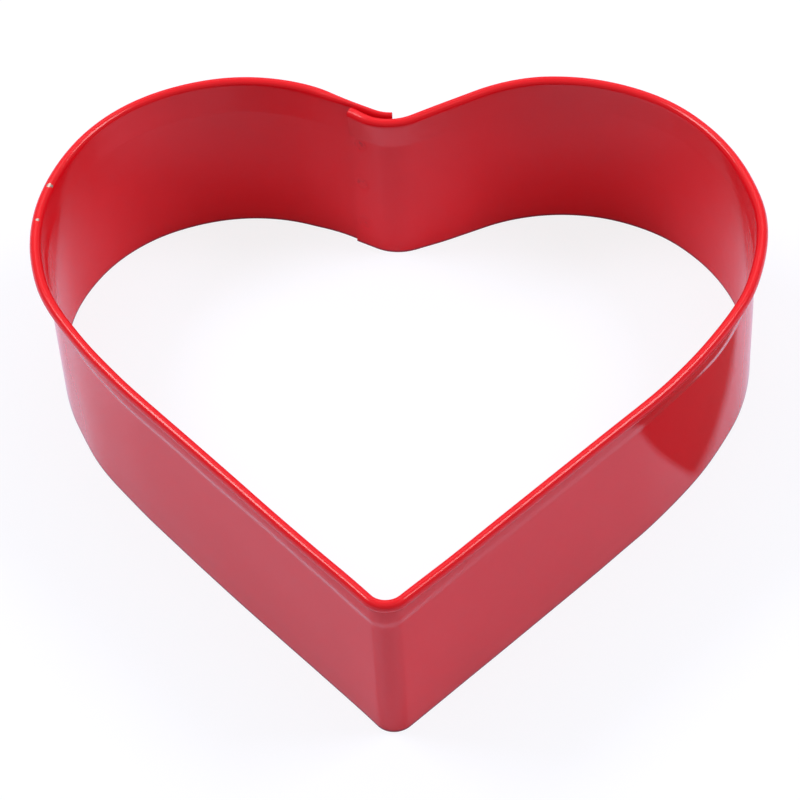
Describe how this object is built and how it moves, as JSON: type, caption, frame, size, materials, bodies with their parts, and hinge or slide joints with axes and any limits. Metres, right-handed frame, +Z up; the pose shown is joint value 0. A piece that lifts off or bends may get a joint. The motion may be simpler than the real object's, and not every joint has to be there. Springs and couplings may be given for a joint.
{
  "type": "cookie cutter",
  "caption": "Heart-shaped cookie cutter: a deep strip with a sheared cutting edge below, a rolled rim above and a spot-welded lap at the cleft.",
  "frame": {"origin": "middle of the footprint, on the plane of the cutting edge", "axes": "+Z up from the cutting edge to the rolled rim, +X across the two lobes, +Y from the heart's tip to its cleft"},
  "size_m": [0.0984, 0.0974, 0.0254],
  "materials": {
    "red_enamel": "glossy baked coating on tinplate",
    "weld_mark": "glossy coating, slightly dulled in the electrode's dent"
  },
  "bodies": {
    "root": {"cutter_strip": "red_enamel", "spot_welds": "weld_mark"}
  },
  "joints": []
}
